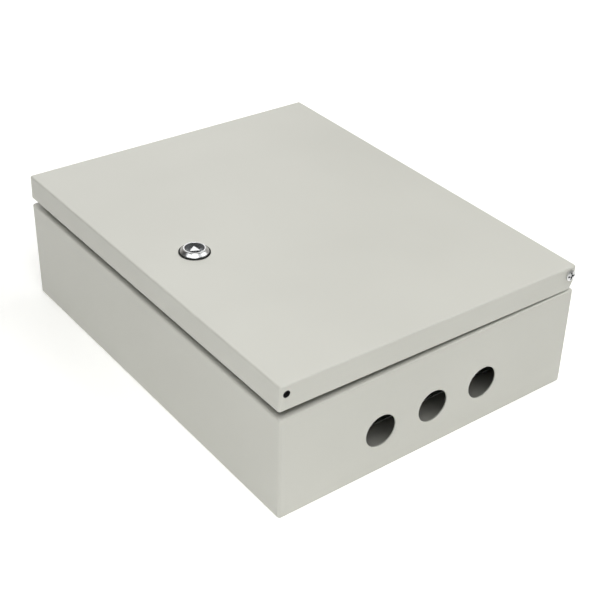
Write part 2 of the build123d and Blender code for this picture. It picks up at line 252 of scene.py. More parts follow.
powder_coat, tree, shader, place = new_finish("polyester_powder_coat_sprayed_and_baked")
drift = add(tree, "ShaderNodeTexNoise", {"Vector": place, "Scale": 1 / COAT_DRIFT, "Detail": 2.0})
tone = add(tree, "ShaderNodeValToRGB", {"Fac": drift.outputs["Fac"]})
tone.color_ramp.elements[0].position = COAT_DRIFT_ENDS[0]
tone.color_ramp.elements[0].color = linear(COAT_DARK)
tone.color_ramp.elements[1].position = COAT_DRIFT_ENDS[1]
tone.color_ramp.elements[1].color = linear(COAT_LIGHT)
peel = add(tree, "ShaderNodeTexNoise", {"Vector": place, "Scale": 1 / PEEL_WIDTH, "Detail": 1.0})
gloss = add(tree, "ShaderNodeMapRange", {"Value": peel.outputs["Fac"], "To Min": COAT_ROUGHNESS[0],
                                         "To Max": COAT_ROUGHNESS[1]})
ripple = add(tree, "ShaderNodeBump", {"Height": peel.outputs["Fac"], "Distance": PEEL_DEPTH,
                                      "Strength": PEEL_STRENGTH})
tree.links.new(tone.outputs["Color"], shader.inputs["Base Color"])
tree.links.new(gloss.outputs["Result"], shader.inputs["Roughness"])
tree.links.new(ripple.outputs["Normal"], shader.inputs["Normal"])
shader.inputs["IOR"].default_value = COAT_IOR
body.data.materials.append(powder_coat)

# Mounting plate: 1.5 mm galvanised sheet that carries the equipment. It sits loose on four studs welded to
# the back, each with a spacer nut below the plate and a washer and nut above it.
CUT_EDGE = 0.2 * MM
JOIN_DISTANCE = 0.001 * MM

# Hot-dip galvanised steel: the zinc freezes into feathered crystals of a few millimetres, so neighbouring
# patches differ a little in tone and gloss. A typical zinc metal is a cool light grey of middle roughness.
ZINC_LIGHT = "#D2D4D4"
ZINC_DARK = "#AEB2B4"
ZINC_TONE_ENDS = (0.15, 0.85)
ZINC_ROUGHNESS = (0.34, 0.52)
SPANGLE = 9 * MM
FEATHER_WIDTH = SPANGLE / 2
FEATHER_SHARE = 0.35
galvanised, tree, shader, place = new_finish("galvanised_steel_hot_dipped")
crystal = add(tree, "ShaderNodeTexVoronoi", {"Vector": place, "Scale": 1 / SPANGLE})
feather = add(tree, "ShaderNodeTexNoise", {"Vector": place, "Scale": 1 / FEATHER_WIDTH, "Detail": 4.0})
patch = add(tree, "ShaderNodeMixRGB", {"Fac": FEATHER_SHARE, "Color1": crystal.outputs["Color"],
                                       "Color2": feather.outputs["Fac"]})
tone = add(tree, "ShaderNodeValToRGB", {"Fac": patch.outputs["Color"]})
tone.color_ramp.elements[0].position = ZINC_TONE_ENDS[0]
tone.color_ramp.elements[0].color = linear(ZINC_DARK)
tone.color_ramp.elements[1].position = ZINC_TONE_ENDS[1]
tone.color_ramp.elements[1].color = linear(ZINC_LIGHT)
gloss = add(tree, "ShaderNodeMapRange", {"Value": patch.outputs["Color"], "To Min": ZINC_ROUGHNESS[0],
                                         "To Max": ZINC_ROUGHNESS[1]})
tree.links.new(tone.outputs["Color"], shader.inputs["Base Color"])
tree.links.new(gloss.outputs["Result"], shader.inputs["Roughness"])
shader.inputs["Metallic"].default_value = 1.0


def dress(name, finish, edge):
    """Gives a CAD node its finish, and eases its edges once its loose triangles are joined."""
    node = nodes[name]
    node.data.materials.clear()
    node.data.materials.append(finish)
    node.modifiers.new("joined", "WELD").merge_threshold = JOIN_DISTANCE
    ease_edges(node, edge)


dress("mounting_plate", galvanised, CUT_EDGE)

# Plate fasteners: M6 weld studs, nuts and washers of mild steel, cold-formed with rolled threads.
# The nuts have both faces chamfered, and the washers are stamped, so their edges are slightly rounded.
THREAD_RADIUS = 3.0 * MM
THREAD_PITCH = 1.0 * MM
THREAD_DEPTH = 0.55 * MM
THREAD_COLUMNS = 32
ROWS_PER_PITCH = 8
NUT_FLATS = 10.0 * MM
NUT_CHAMFER = 0.7 * MM
NUT_FACE_SHARE = 0.98
WASHER_RADIUS = 6.0 * MM
WASHER_BORE = 3.2 * MM
STAMPED_EDGE = 0.3 * MM
CORNER_POINTS = 4


def thread(radius, low, high, pitch, depth, columns=THREAD_COLUMNS):
    """Rows of a screw thread from low to high: the radius falls from the crest by depth times a triangle wave
    of height / pitch less angle / turn, so the ridge climbs one pitch a turn. It runs out to the root at both
    ends."""
    height = np.linspace(low, high, int(abs(high - low) / pitch * ROWS_PER_PITCH) + 1)
    turn = np.linspace(0, 1, columns, endpoint=False)
    wave = np.abs((height[:, None] / pitch - turn) % 1.0 * 2 - 1)
    run_out = 1 - np.minimum(np.abs(height - low), np.abs(high - height)) / pitch
    return radius - depth * np.maximum(wave, run_out[:, None]), height


def hexagon(flats, columns):
    """Radius of a hexagon at each angle: half the flats over the cosine of the angle from the nearest flat's
    middle."""
    angle = np.linspace(0, 2 * np.pi, columns, endpoint=False)
    return flats / 2 / np.cos((angle + np.pi / 6) % (np.pi / 3) - np.pi / 6)


def nut(flats, bore, low, high, chamfer, columns=96):
    """A nut's closed outline: at mid height a hexagon, at both faces the hexagon cut to a circle just inside
    its flats, and a round bore. The chamfer is the height over which the corners come back in."""
    corners = hexagon(flats, columns)
    face = np.minimum(corners, flats / 2 * NUT_FACE_SHARE)
    hole = np.full(columns, bore)
    return turned([face, corners, corners, face, hole, hole],
                  [low, low + chamfer, high - chamfer, high, high, low], columns)


def soften(outline, reach):
    """Rounds every corner of a closed outline with a quadratic curve that starts and ends at the reach from
    the corner, or at half of the side where that is shorter."""
    corner = np.asarray(outline, dtype=float)
    before = np.roll(corner, 1, axis=0) - corner
    after = np.roll(corner, -1, axis=0) - corner
    start = corner + before * np.minimum(0.5, reach / np.linalg.norm(before, axis=1))[:, None]
    end = corner + after * np.minimum(0.5, reach / np.linalg.norm(after, axis=1))[:, None]
    t = np.linspace(0, 1, CORNER_POINTS)[None, :, None]
    curve = (1 - t) ** 2 * start[:, None] + 2 * t * (1 - t) * corner[:, None] + t**2 * end[:, None]
    return curve.reshape(-1, 2)


def flat_ring(radius, bore, low, high, edge):
    """A washer's closed outline: a rectangle of radius by height with softened corners, carried round Z."""
    outline = soften([(bore, low), (radius, low), (radius, high), (bore, high)], edge)
    return turned(outline[:, 0], outline[:, 1])


# Bright zinc plating, electroplated and clear-passivated: a thin, nearly mirror-like metal with a faint
# bluish cast and slightly uneven gloss, as the bath leaves it on rolled threads and stamped faces.
PLATING_TONE = "#C9CCCF"
PLATING_ROUGHNESS = (0.22, 0.42)
BATH_GRAIN = 3 * MM
zinc_plate, tree, shader, place = new_finish("zinc_electroplated_bright")
grain = add(tree, "ShaderNodeTexNoise", {"Vector": place, "Scale": 1 / BATH_GRAIN, "Detail": 3.0})
gloss = add(tree, "ShaderNodeMapRange", {"Value": grain.outputs["Fac"], "To Min": PLATING_ROUGHNESS[0],
                                         "To Max": PLATING_ROUGHNESS[1]})
tree.links.new(gloss.outputs["Result"], shader.inputs["Roughness"])
shader.inputs["Base Color"].default_value = linear(PLATING_TONE)
shader.inputs["Metallic"].default_value = 1.0


def fit(name, grid, carrier, spot, finish=zinc_plate, ring=True):
    """Sets a piece that is drawn round Z at its spot on its carrier, to stand for the CAD node of that
    name."""
    made = piece(name + "_piece", grid, ring)
    made.data.transform(spot)
    made.data.materials.append(finish)
    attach(made, carrier)
    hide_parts(name)
    return made


def fit_upright(name, draw, carrier="cabinet", ring=True):
    """Draws an upright fastener between its CAD node's lowest and highest point and fits it there."""
    low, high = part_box(name)
    middle = (low + high) / 2
    fit(name, draw(low.z, high.z), carrier, Matrix.Translation((middle.x, middle.y, 0)), ring=ring)


def draw_stud(low, high):
    """A stud's rows: its rolled thread from end to end."""
    return turned(*thread(THREAD_RADIUS, low, high, THREAD_PITCH, THREAD_DEPTH), THREAD_COLUMNS)


def draw_nut(low, high):
    """The common nut between two heights."""
    return nut(NUT_FLATS, THREAD_RADIUS, low, high, NUT_CHAMFER)


def draw_washer(low, high):
    """The common washer between two heights."""
    return flat_ring(WASHER_RADIUS, WASHER_BORE, low, high, STAMPED_EDGE)


for number in (1, 2, 3, 4):
    fit_upright(f"plate_stud_{number}", draw_stud, ring=False)
    fit_upright(f"plate_spacer_nut_{number}", draw_nut)
    fit_upright(f"plate_washer_{number}", draw_washer)
    fit_upright(f"plate_nut_{number}", draw_nut)

# Body earth point: a weld stud of the same kind on the back, with its washer and nut,
# left bare of coating so that an earth lead makes contact.
fit_upright("body_earth_stud", draw_stud, ring=False)
fit_upright("body_earth_washer", draw_washer)
fit_upright("body_earth_nut", draw_nut)

# Hinge brackets: 2 mm steel strip, stamped and folded to a foot, and welded to the end ledges.
# Each has an arm with a threaded eye for its hinge screw.
dress("hinge_bracket_lower", zinc_plate, CUT_EDGE)
dress("hinge_bracket_upper", zinc_plate, CUT_EDGE)

# Door: a shallow tray folded from the same sheet, its corners welded and ground round, and coated like the
# body. Its flange is low and cut back on the hinge side, so that it clears the body when it swings.
# It is drawn closed and then swung about the hinge line to where it rests.
HINGE = Vector(frame["joints"][0]["pos_m"])
LOCK_SPOT = Vector(frame["joints"][1]["pos_m"])
LOCK_AXIS = Vector(frame["joints"][1]["axis"])
HINGE_DROP = 8.0 * MM
DOOR_FLANGE_DEPTH = 22.2 * MM
HINGE_FLANGE_DEPTH = 8.5 * MM
DOOR_FOLD_RADIUS = 1.6 * MM
DOOR_CORNER_RADIUS = 1.8 * MM
DOOR_SLANT_DEPTH = 11.0 * MM
DOOR_SLANT_INSET = 5.0 * MM
HINGE_HOLE_RADIUS = 3.3 * MM
HINGE_HOLE_COLUMNS = 32
LOCK_HOLE_RADIUS = 10.25 * MM
DOOR_HALF_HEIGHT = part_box("door_panel")[1].y
DOOR_TOP = HINGE.z + HINGE_DROP
DOOR_INSIDE = DOOR_TOP - SHEET
DOOR_LOW = DOOR_TOP - DOOR_FLANGE_DEPTH
AJAR = Matrix.Rotation(LOCK_AXIS.angle((0, 0, 1)), 4, "Y")
swing = Matrix.Translation(HINGE) @ AJAR @ Matrix.Translation(-HINGE)

# The corner radius shrinks by this share of the inset, so that the innermost fold still has a round corner.
DOOR_CORNER_SHRINK = 0.88
inner_fold = DOOR_FOLD_RADIUS - SHEET
door_section = np.concatenate([
    [(BACK_MARGIN, DOOR_TOP)],
    bend((DOOR_FOLD_RADIUS, DOOR_TOP - DOOR_FOLD_RADIUS), DOOR_FOLD_RADIUS, 90, 180, steps=9),
    [(0, DOOR_LOW), (SHEET, DOOR_LOW)],
    bend((SHEET + inner_fold, DOOR_INSIDE - inner_fold), inner_fold, 180, 90, steps=4),
    [(BACK_MARGIN, DOOR_INSIDE)],
])
section_inset = door_section[:, 0]
door_corner = np.where(section_inset < BACK_MARGIN, DOOR_CORNER_RADIUS - DOOR_CORNER_SHRINK * section_inset,
                       BACK_MARGIN)
door = piece("door_tray", carry_round(door_section, door_corner, HALF_WIDTH, DOOR_HALF_HEIGHT))


def bar(name, outline, half_length):
    """A straight bar along Y: the outline of (x, z) points at both ends."""
    x, z = np.transpose(outline)
    ends = [np.stack([x, 0 * x + end, z], axis=1) for end in (-half_length, half_length)]
    return piece(name, np.stack(ends))


cut_inside = HALF_WIDTH - 2 * SHEET
cut_outside = HALF_WIDTH + SHEET
cut_low = DOOR_LOW - SHEET
hinge_flange_low = DOOR_TOP - HINGE_FLANGE_DEPTH
slant_start = HALF_WIDTH - DOOR_SLANT_INSET
slant_top = DOOR_LOW + DOOR_SLANT_DEPTH
flange_cut = bar("flange_cut", [(cut_inside, cut_low), (cut_outside, cut_low),
                                (cut_outside, hinge_flange_low), (cut_inside, hinge_flange_low)],
                 DOOR_HALF_HEIGHT - SHEET)
slant_cut = bar("slant_cut", [(slant_start, DOOR_LOW), (HALF_WIDTH, slant_top), (cut_outside, slant_top),
                              (cut_outside, cut_low), (slant_start, cut_low)], HALF_HEIGHT)
door_punches = [flange_cut, slant_cut]
for side in (-1, 1):
    reach = [-HALF_HEIGHT, HALF_HEIGHT]
    punch = piece("hinge_hole_punch", turned([HINGE_HOLE_RADIUS] * 2, reach, HINGE_HOLE_COLUMNS))
    punch.data.transform(Matrix.Translation((side * HINGE.x, 0, HINGE.z)) @ along_y)
    door_punches.append(punch)
punch = piece("lock_hole_punch", turned([LOCK_HOLE_RADIUS] * 2, [DOOR_INSIDE - SHEET, DOOR_TOP + SHEET]))
lock_on_closed_door = swing.inverted() @ LOCK_SPOT
punch.data.transform(Matrix.Translation((lock_on_closed_door.x, lock_on_closed_door.y, 0)))
door_punches.append(punch)
cut(door, *door_punches)
door.data.transform(swing)
ease_edges(door, SHEARED_EDGE)
door.data.materials.append(powder_coat)
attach(door, "door")
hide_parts("door_panel")

# Door earth point: a stud, washer and nut of the same zinc-plated steel, left bare of coating.
# The stud is welded to the door's inner face and points into the box.
EARTH_STUD_LENGTH = 18.0 * MM
EARTH_WASHER_THICKNESS = 1.6 * MM
EARTH_NUT_HEIGHT = 5.0 * MM
upside_down = Matrix.Rotation(radians(180), 4, "X")
nut_top = EARTH_WASHER_THICKNESS + EARTH_NUT_HEIGHT
for name, draw, base, top, ring in (("stud", draw_stud, 0, EARTH_STUD_LENGTH, False),
                                    ("washer", draw_washer, 0, EARTH_WASHER_THICKNESS, True),
                                    ("nut", draw_nut, EARTH_WASHER_THICKNESS, nut_top, True)):
    low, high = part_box(f"door_earth_{name}")
    middle = swing.inverted() @ ((low + high) / 2)
    stand = swing @ Matrix.Translation((middle.x, middle.y, DOOR_INSIDE)) @ upside_down
    fit(f"door_earth_{name}", draw(base, top), "door", stand, ring=ring)

# Gasket: a bead of polyurethane foam, poured in place round the door's inner face, where it foams up and
# cures. Its crown is round and a little uneven, and the lip has pressed a shallow line along its middle.
GASKET_WIDTH = 10.0 * MM
GASKET_SQUEEZE = 0.15 * MM
GASKET_CORNER_RADIUS = 8.0 * MM
GASKET_CORNER_SHRINK = 0.4
GASKET_ROWS = 25
GASKET_PRESS = 0.5 * MM
GASKET_PRESS_WIDTH = 1.4 * MM
CROWN_POWER = 0.55
GASKET_SWELL = 0.12 * MM
SWELL_LENGTH = 45 * MM
SLOW_SWELL_SHARE = 0.6
SLOW_SWELL_PACE = 0.37
SLOW_SWELL_START = 1.0
gasket_low = LIP_TOP - GASKET_SQUEEZE
opening_line = LEDGE_WIDTH + SHEET / 2 - GASKET_WIDTH / 2

# Across the bead the inset follows a half turn of cosine and the crown a power of sine. Along it the height
# swells by two sine waves of the distance travelled, a short one and a slower, weaker one.
arch = np.linspace(0, np.pi, GASKET_ROWS)
bead_inset = GASKET_WIDTH * (1 - np.cos(arch)) / 2
crown = np.sin(arch) ** CROWN_POWER
bead_height = DOOR_INSIDE - (DOOR_INSIDE - gasket_low) * crown
pressed = GASKET_PRESS * np.exp(-(((bead_inset - GASKET_WIDTH / 2) / GASKET_PRESS_WIDTH) ** 2))
bead = carry_round(np.stack([bead_inset, bead_height + pressed], axis=1),
                   GASKET_CORNER_RADIUS - bead_inset * GASKET_CORNER_SHRINK,
                   HALF_WIDTH - opening_line, HALF_HEIGHT - opening_line, steps=10, run=60)
middle_row = bead[GASKET_ROWS // 2]
strides = np.linalg.norm(np.diff(middle_row, axis=0, prepend=middle_row[:1]), axis=1)
travel = np.cumsum(strides) / SWELL_LENGTH
slow_swell = np.sin(2 * np.pi * travel * SLOW_SWELL_PACE + SLOW_SWELL_START)
swell = np.sin(2 * np.pi * travel) + SLOW_SWELL_SHARE * slow_swell
bead[..., 2] += GASKET_SWELL * crown[:, None] * (1 + swell / (1 + SLOW_SWELL_SHARE))
gasket = piece("gasket_bead", bead, ring=True)
gasket.data.transform(swing)

# Polyurethane foam, mixed and poured: near-black and matte, with a skin of fine open pores that break its
# edge. The pores of about 0.4 mm are drawn at 1 mm so that they show, and their pits are painted darker as painted
# shade.
FOAM_TONE = "#2A2A29"
FOAM_PORE_PAINTED_SHADE_TONE = "#141414"
FOAM_ROUGHNESS = 0.85
PORE_WIDTH = 1.0 * MM
PORE_EDGE = 0.45
PORE_DEPTH = 0.25 * MM
PORE_STRENGTH = 0.6
foam, tree, shader, place = new_finish("polyurethane_foam_poured")
pores = add(tree, "ShaderNodeTexVoronoi", {"Vector": place, "Scale": 1 / PORE_WIDTH})
# Painted shade: the colour darkens towards each pore's middle, where the bump sinks its pit.
tone = add(tree, "ShaderNodeValToRGB", {"Fac": pores.outputs["Distance"]})
tone.color_ramp.elements[0].color = linear(FOAM_PORE_PAINTED_SHADE_TONE)
tone.color_ramp.elements[1].position = PORE_EDGE
tone.color_ramp.elements[1].color = linear(FOAM_TONE)
pitting = add(tree, "ShaderNodeBump", {"Height": pores.outputs["Distance"], "Distance": PORE_DEPTH,
                                       "Strength": PORE_STRENGTH})
tree.links.new(tone.outputs["Color"], shader.inputs["Base Color"])
tree.links.new(pitting.outputs["Normal"], shader.inputs["Normal"])
shader.inputs["Roughness"].default_value = FOAM_ROUGHNESS
gasket.data.materials.append(foam)
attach(gasket, "door")
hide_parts("door_gasket")

# Hinge screws: chromed shoulder screws with a domed cross-recess head. Each passes through a hole in the
# door's end flange and screws into its bracket's eye, so the door turns on the shoulder.
HEAD_RADIUS = 4.8 * MM
HEAD_HEIGHT = 2.1 * MM
HEAD_DOME = 0.9 * MM
HEAD_LOW = 2.55 * MM
HEAD_ROWS = 34
HEAD_POLE_SHARE = 0.02
SHOULDER_RADIUS = 3.25 * MM
HINGE_THREAD_RADIUS = 2.45 * MM
HINGE_THREAD_LENGTH = 6.0 * MM
HINGE_THREAD_PITCH = 0.8 * MM
HINGE_THREAD_DEPTH = 0.45 * MM
RECESS_HALF_WIDTH = 1.0 * MM
RECESS_REACH = 3.8 * MM
RECESS_DEPTH = 1.5 * MM
RECESS_SLOPE = 0.3 * MM
RECESS_RISE_SHARE = 0.45
RECESS_PIP = 1.2 * MM
BRACKET_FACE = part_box("hinge_bracket_upper")[1].y
SCREW_COLUMNS = 96


def cross_recess(x, y):
    """Depth of a cross recess at (x, y): two crossed slots whose walls slope in over a short width and whose
    floor rises from the middle to the slot's end."""
    def slot(across, along):
        walls = np.clip((RECESS_HALF_WIDTH - np.abs(across)) / RECESS_SLOPE + 0.5, 0, 1)
        ends = np.clip((RECESS_REACH - np.abs(along)) / RECESS_SLOPE, 0, 1)
        return walls * ends * (1 - RECESS_RISE_SHARE * np.abs(along) / RECESS_REACH)
    return RECESS_DEPTH * np.maximum(slot(x, y), slot(y, x))


angle = np.linspace(0, 2 * np.pi, SCREW_COLUMNS, endpoint=False)
head_share = np.linspace(HEAD_POLE_SHARE, 1, HEAD_ROWS)[:, None]
head_radius = HEAD_RADIUS * head_share + 0 * angle
head_recess = cross_recess(head_radius * np.cos(angle), head_radius * np.sin(angle))
head_height = HEAD_LOW + HEAD_HEIGHT - HEAD_DOME * head_share**3 - head_recess
shank_radius, shank_height = thread(HINGE_THREAD_RADIUS, 0, -HINGE_THREAD_LENGTH, HINGE_THREAD_PITCH,
                                    HINGE_THREAD_DEPTH, SCREW_COLUMNS)
plain = np.ones((1, SCREW_COLUMNS))
screw_radius = np.concatenate([head_radius, HEAD_RADIUS * plain, SHOULDER_RADIUS * plain,
                               SHOULDER_RADIUS * plain, shank_radius])
screw_height = np.concatenate([head_height, HEAD_LOW * plain, HEAD_LOW * plain, 0 * plain,
                               shank_height[:, None] * plain])
# Painted shade: each slot of the cross recess gets a share from its depth, none on the middle pip, that darkens
# the chrome's colour there.
painted_shade_in_recess = np.zeros_like(screw_height)
painted_shade_in_recess[:HEAD_ROWS] = head_recess / RECESS_DEPTH * np.clip((head_radius - RECESS_PIP) / RECESS_SLOPE, 0, 1)

# Bright chrome plate over nickel, polished: a neutral mirror with a little haze from handling. The slots of a
# driver recess are painted nearly black, as painted shade in the slots; the recess attribute marks them.
CHROME_TONE = "#D6D7D8"
CHROME_ROUGHNESS = (0.22, 0.34)
RECESS_PAINTED_SHADE_TONE = "#1A1917"
RECESS_PAINTED_SHADE_ENDS = (0.15, 0.5)
HAZE_SPREAD = 6 * MM
chrome, tree, shader, place = new_finish("chrome_plate_polished")
haze = add(tree, "ShaderNodeTexNoise", {"Vector": place, "Scale": 1 / HAZE_SPREAD, "Detail": 3.0})
gloss = add(tree, "ShaderNodeMapRange", {"Value": haze.outputs["Fac"], "To Min": CHROME_ROUGHNESS[0],
                                         "To Max": CHROME_ROUGHNESS[1]})
# The recess attribute turns the chrome's colour nearly black in the slots: painted shade.
painted_recess_shade = add(tree, "ShaderNodeAttribute", attribute_name="painted_recess_shade")
tone = add(tree, "ShaderNodeValToRGB", {"Fac": painted_recess_shade.outputs["Fac"]})
tone.color_ramp.elements[0].position = RECESS_PAINTED_SHADE_ENDS[0]
tone.color_ramp.elements[0].color = linear(CHROME_TONE)
tone.color_ramp.elements[1].position = RECESS_PAINTED_SHADE_ENDS[1]
tone.color_ramp.elements[1].color = linear(RECESS_PAINTED_SHADE_TONE)
tree.links.new(tone.outputs["Color"], shader.inputs["Base Color"])
tree.links.new(gloss.outputs["Result"], shader.inputs["Roughness"])
shader.inputs["Metallic"].default_value = 1.0

for name, end in (("lower", -1), ("upper", 1)):
    outwards = Matrix.Rotation(radians(-90 * end), 4, "X")
    spot = Matrix.Translation((HINGE.x, end * BRACKET_FACE, HINGE.z)) @ outwards
    screw = fit(f"hinge_screw_{name}", turned(screw_radius, screw_height, SCREW_COLUMNS), "cabinet", spot,
                chrome, ring=False)
    # The painted shade of the recess slots goes on the screw as a point attribute.
    screw.data.attributes.new("painted_recess_shade", "FLOAT", "POINT").data.foreach_set("value", painted_shade_in_recess.ravel())

# Hole plugs: the door's other two hinge holes, for hanging it on the other side, are closed with black
# push-in cups of polyethylene. Each is moulded in one piece, sits just below the flange's face, and grips the
# sheet with a rib behind it.
PLUG_RADIUS = 3.25 * MM
PLUG_WALL = 0.4 * MM
PLUG_SET = 0.25 * MM
PLUG_WELL = 2.8 * MM
PLUG_LENGTH = 3.4 * MM
PLUG_RIB = 0.2 * MM
PLUG_POLE = 0.05 * MM
PLUG_COLUMNS = 48

# Polyethylene, injection-moulded: black with a soft sheen and a very fine matte texture from the mould.
POLYETHYLENE_TONE = "#0A0A0A"
POLYETHYLENE_ROUGHNESS = (0.4, 0.6)
POLYETHYLENE_IOR = 1.51
MOULD_GRAIN = 0.5 * MM
polyethylene, tree, shader, place = new_finish("polyethylene_injection_moulded")
grain = add(tree, "ShaderNodeTexNoise", {"Vector": place, "Scale": 1 / MOULD_GRAIN, "Detail": 2.0})
gloss = add(tree, "ShaderNodeMapRange", {"Value": grain.outputs["Fac"], "To Min": POLYETHYLENE_ROUGHNESS[0],
                                         "To Max": POLYETHYLENE_ROUGHNESS[1]})
tree.links.new(gloss.outputs["Result"], shader.inputs["Roughness"])
shader.inputs["Base Color"].default_value = linear(POLYETHYLENE_TONE)
shader.inputs["IOR"].default_value = POLYETHYLENE_IOR

plug_outline = np.array([
    (PLUG_POLE, -PLUG_WELL), (PLUG_RADIUS - 2 * PLUG_WALL, -PLUG_WELL), (PLUG_RADIUS - PLUG_WALL, -PLUG_SET),
    (PLUG_RADIUS, -PLUG_SET), (PLUG_RADIUS, -SHEET), (PLUG_RADIUS + PLUG_RIB, -SHEET - PLUG_RIB),
    (PLUG_RADIUS - PLUG_WALL, -PLUG_LENGTH), (PLUG_POLE, -PLUG_LENGTH),
])
for name, end in (("lower", -1), ("upper", 1)):
    plug = piece(f"hole_plug_{name}", turned(plug_outline[:, 0], plug_outline[:, 1], PLUG_COLUMNS))
    plug.data.transform(swing @ Matrix.Translation((-HINGE.x, end * DOOR_HALF_HEIGHT, HINGE.z))
                        @ Matrix.Rotation(radians(-90 * end), 4, "X"))
    plug.data.materials.append(polyethylene)
    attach(plug, "door")

# Lock housing: a zinc die-casting, chromed, with a conical flange outside the door and a threaded stem inside
# it. It stands on a black rubber ring that seals its hole, and a large nut behind the door holds it.
# Its heights count from the door's outer face.
SEAL_RADIUS = 13.75 * MM
SEAL_THICKNESS = 0.8 * MM
FLANGE_RADIUS = 12.4 * MM
FLANGE_EDGE = 0.7 * MM
RIM_RADIUS = 9.7 * MM
RIM_HEIGHT = 0.7 * MM
LOCK_RISE = 4.5 * MM
WELL_RADIUS = 8.4 * MM
WELL_DEPTH = 8.0 * MM
STEM_RADIUS = 10.0 * MM
STEM_DEPTH = 18.0 * MM
STEM_PITCH = 1.5 * MM
STEM_THREAD_DEPTH = 0.8 * MM
LOCK_BORE = 5.0 * MM
LOCK_NUT_FLATS = 27.0 * MM
LOCK_NUT_THICKNESS = 5.0 * MM
LOCK_NUT_CHAMFER = 1.2 * MM
LOCK_COLUMNS = 96
CAST_EDGE = 0.3 * MM
on_lock = Matrix.Translation(LOCK_SPOT) @ AJAR

# The thread's rows go in before the outline's last corner, which is the stem's lower end at the root.
outline = soften([(LOCK_BORE, -STEM_DEPTH), (LOCK_BORE, -WELL_DEPTH), (WELL_RADIUS, -WELL_DEPTH),
                  (WELL_RADIUS, LOCK_RISE), (RIM_RADIUS, LOCK_RISE), (RIM_RADIUS, LOCK_RISE - RIM_HEIGHT),
                  (FLANGE_RADIUS, SEAL_THICKNESS + FLANGE_EDGE), (FLANGE_RADIUS, SEAL_THICKNESS),
                  (STEM_RADIUS, SEAL_THICKNESS), (STEM_RADIUS, -STEM_DEPTH)], CAST_EDGE)
casting = outline[:-CORNER_POINTS]
stem_end = outline[-CORNER_POINTS:]
stem_radius, stem_height = thread(STEM_RADIUS, -SHEET, CAST_EDGE - STEM_DEPTH, STEM_PITCH, STEM_THREAD_DEPTH,
                                  LOCK_COLUMNS)
housing_radius = np.concatenate([casting[:, :1] + 0 * stem_radius[:1], stem_radius,
                                 stem_end[:, :1] - STEM_THREAD_DEPTH + 0 * stem_radius[:1]])
housing_height = np.concatenate([casting[:, 1], stem_height, stem_end[:, 1]])
fit("lock_housing", turned(housing_radius, housing_height, LOCK_COLUMNS), "door", on_lock, chrome)

# Nitrile rubber, moulded: a deep matte black with a faint grey bloom.
RUBBER_TONE = "#070707"
RUBBER_BLOOM = "#101010"
RUBBER_ROUGHNESS = 0.8
BLOOM_SPREAD = 5 * MM
rubber, tree, shader, place = new_finish("nitrile_rubber_moulded")
bloom = add(tree, "ShaderNodeTexNoise", {"Vector": place, "Scale": 1 / BLOOM_SPREAD, "Detail": 3.0})
tone = add(tree, "ShaderNodeValToRGB", {"Fac": bloom.outputs["Fac"]})
tone.color_ramp.elements[0].color = linear(RUBBER_TONE)
tone.color_ramp.elements[1].color = linear(RUBBER_BLOOM)
tree.links.new(tone.outputs["Color"], shader.inputs["Base Color"])
shader.inputs["Roughness"].default_value = RUBBER_ROUGHNESS
fit("lock_seal", flat_ring(SEAL_RADIUS, STEM_RADIUS, 0, SEAL_THICKNESS, CAST_EDGE), "door", on_lock, rubber)
fit("lock_nut", nut(LOCK_NUT_FLATS, STEM_RADIUS, -SHEET - LOCK_NUT_THICKNESS, -SHEET, LOCK_NUT_CHAMFER),
    "door", on_lock)

# Lock driver: a die-cast spindle with a triangular post for the key. It drops into the housing's well,
# and a spring clip round its shaft below the stem keeps it there.
CLIP_RADIUS = 8.0 * MM
CLIP_BORE = 4.95 * MM
CLIP_HIGH = -18.1 * MM
CLIP_THICKNESS = 1.2 * MM
dress("lock_driver", chrome, CUT_EDGE)
fit("driver_clip", flat_ring(CLIP_RADIUS, CLIP_BORE, CLIP_HIGH - CLIP_THICKNESS, CLIP_HIGH, STAMPED_EDGE),
    "lock_core", on_lock)

# Cam: a 3 mm steel tongue stamped with a square hole, on the driver's square end under a washer and a hexagon
# screw. A quarter turn swings its tip in under the body's ledge.
dress("lock_cam", zinc_plate, CUT_EDGE)
dress("cam_washer", zinc_plate, CUT_EDGE)
dress("cam_screw", zinc_plate, CUT_EDGE)

# Studio: a white light table that glows under the object and far round it, and a pale backdrop. The strongest
# soft box stands above the camera, with a weak one near it, and others stand behind, left and right.
# The camera is the one that the photo's edges were fitted with.
EYE = Vector((-589.6, -784.6, 692.1)) * MM
VIEW_AZIMUTH = -37.483
VIEW_ELEVATION = 33.696
VIEW_ROLL = 1.38
LENS = 76.84
SENSOR_WIDTH = 36.0
lens = bpy.data.cameras.new("camera")
lens.lens = LENS
lens.sensor_width = SENSOR_WIDTH
camera = bpy.data.objects.new("camera", lens)
camera.matrix_world = (Matrix.Translation(EYE) @ Matrix.Rotation(radians(VIEW_AZIMUTH), 4, "Z")
                       @ Matrix.Rotation(radians(90 - VIEW_ELEVATION), 4, "X")
                       @ Matrix.Rotation(radians(VIEW_ROLL), 4, "Z"))
bpy.context.scene.collection.objects.link(camera)
bpy.context.scene.camera = camera
bpy.context.scene.view_settings.view_transform = "Standard"

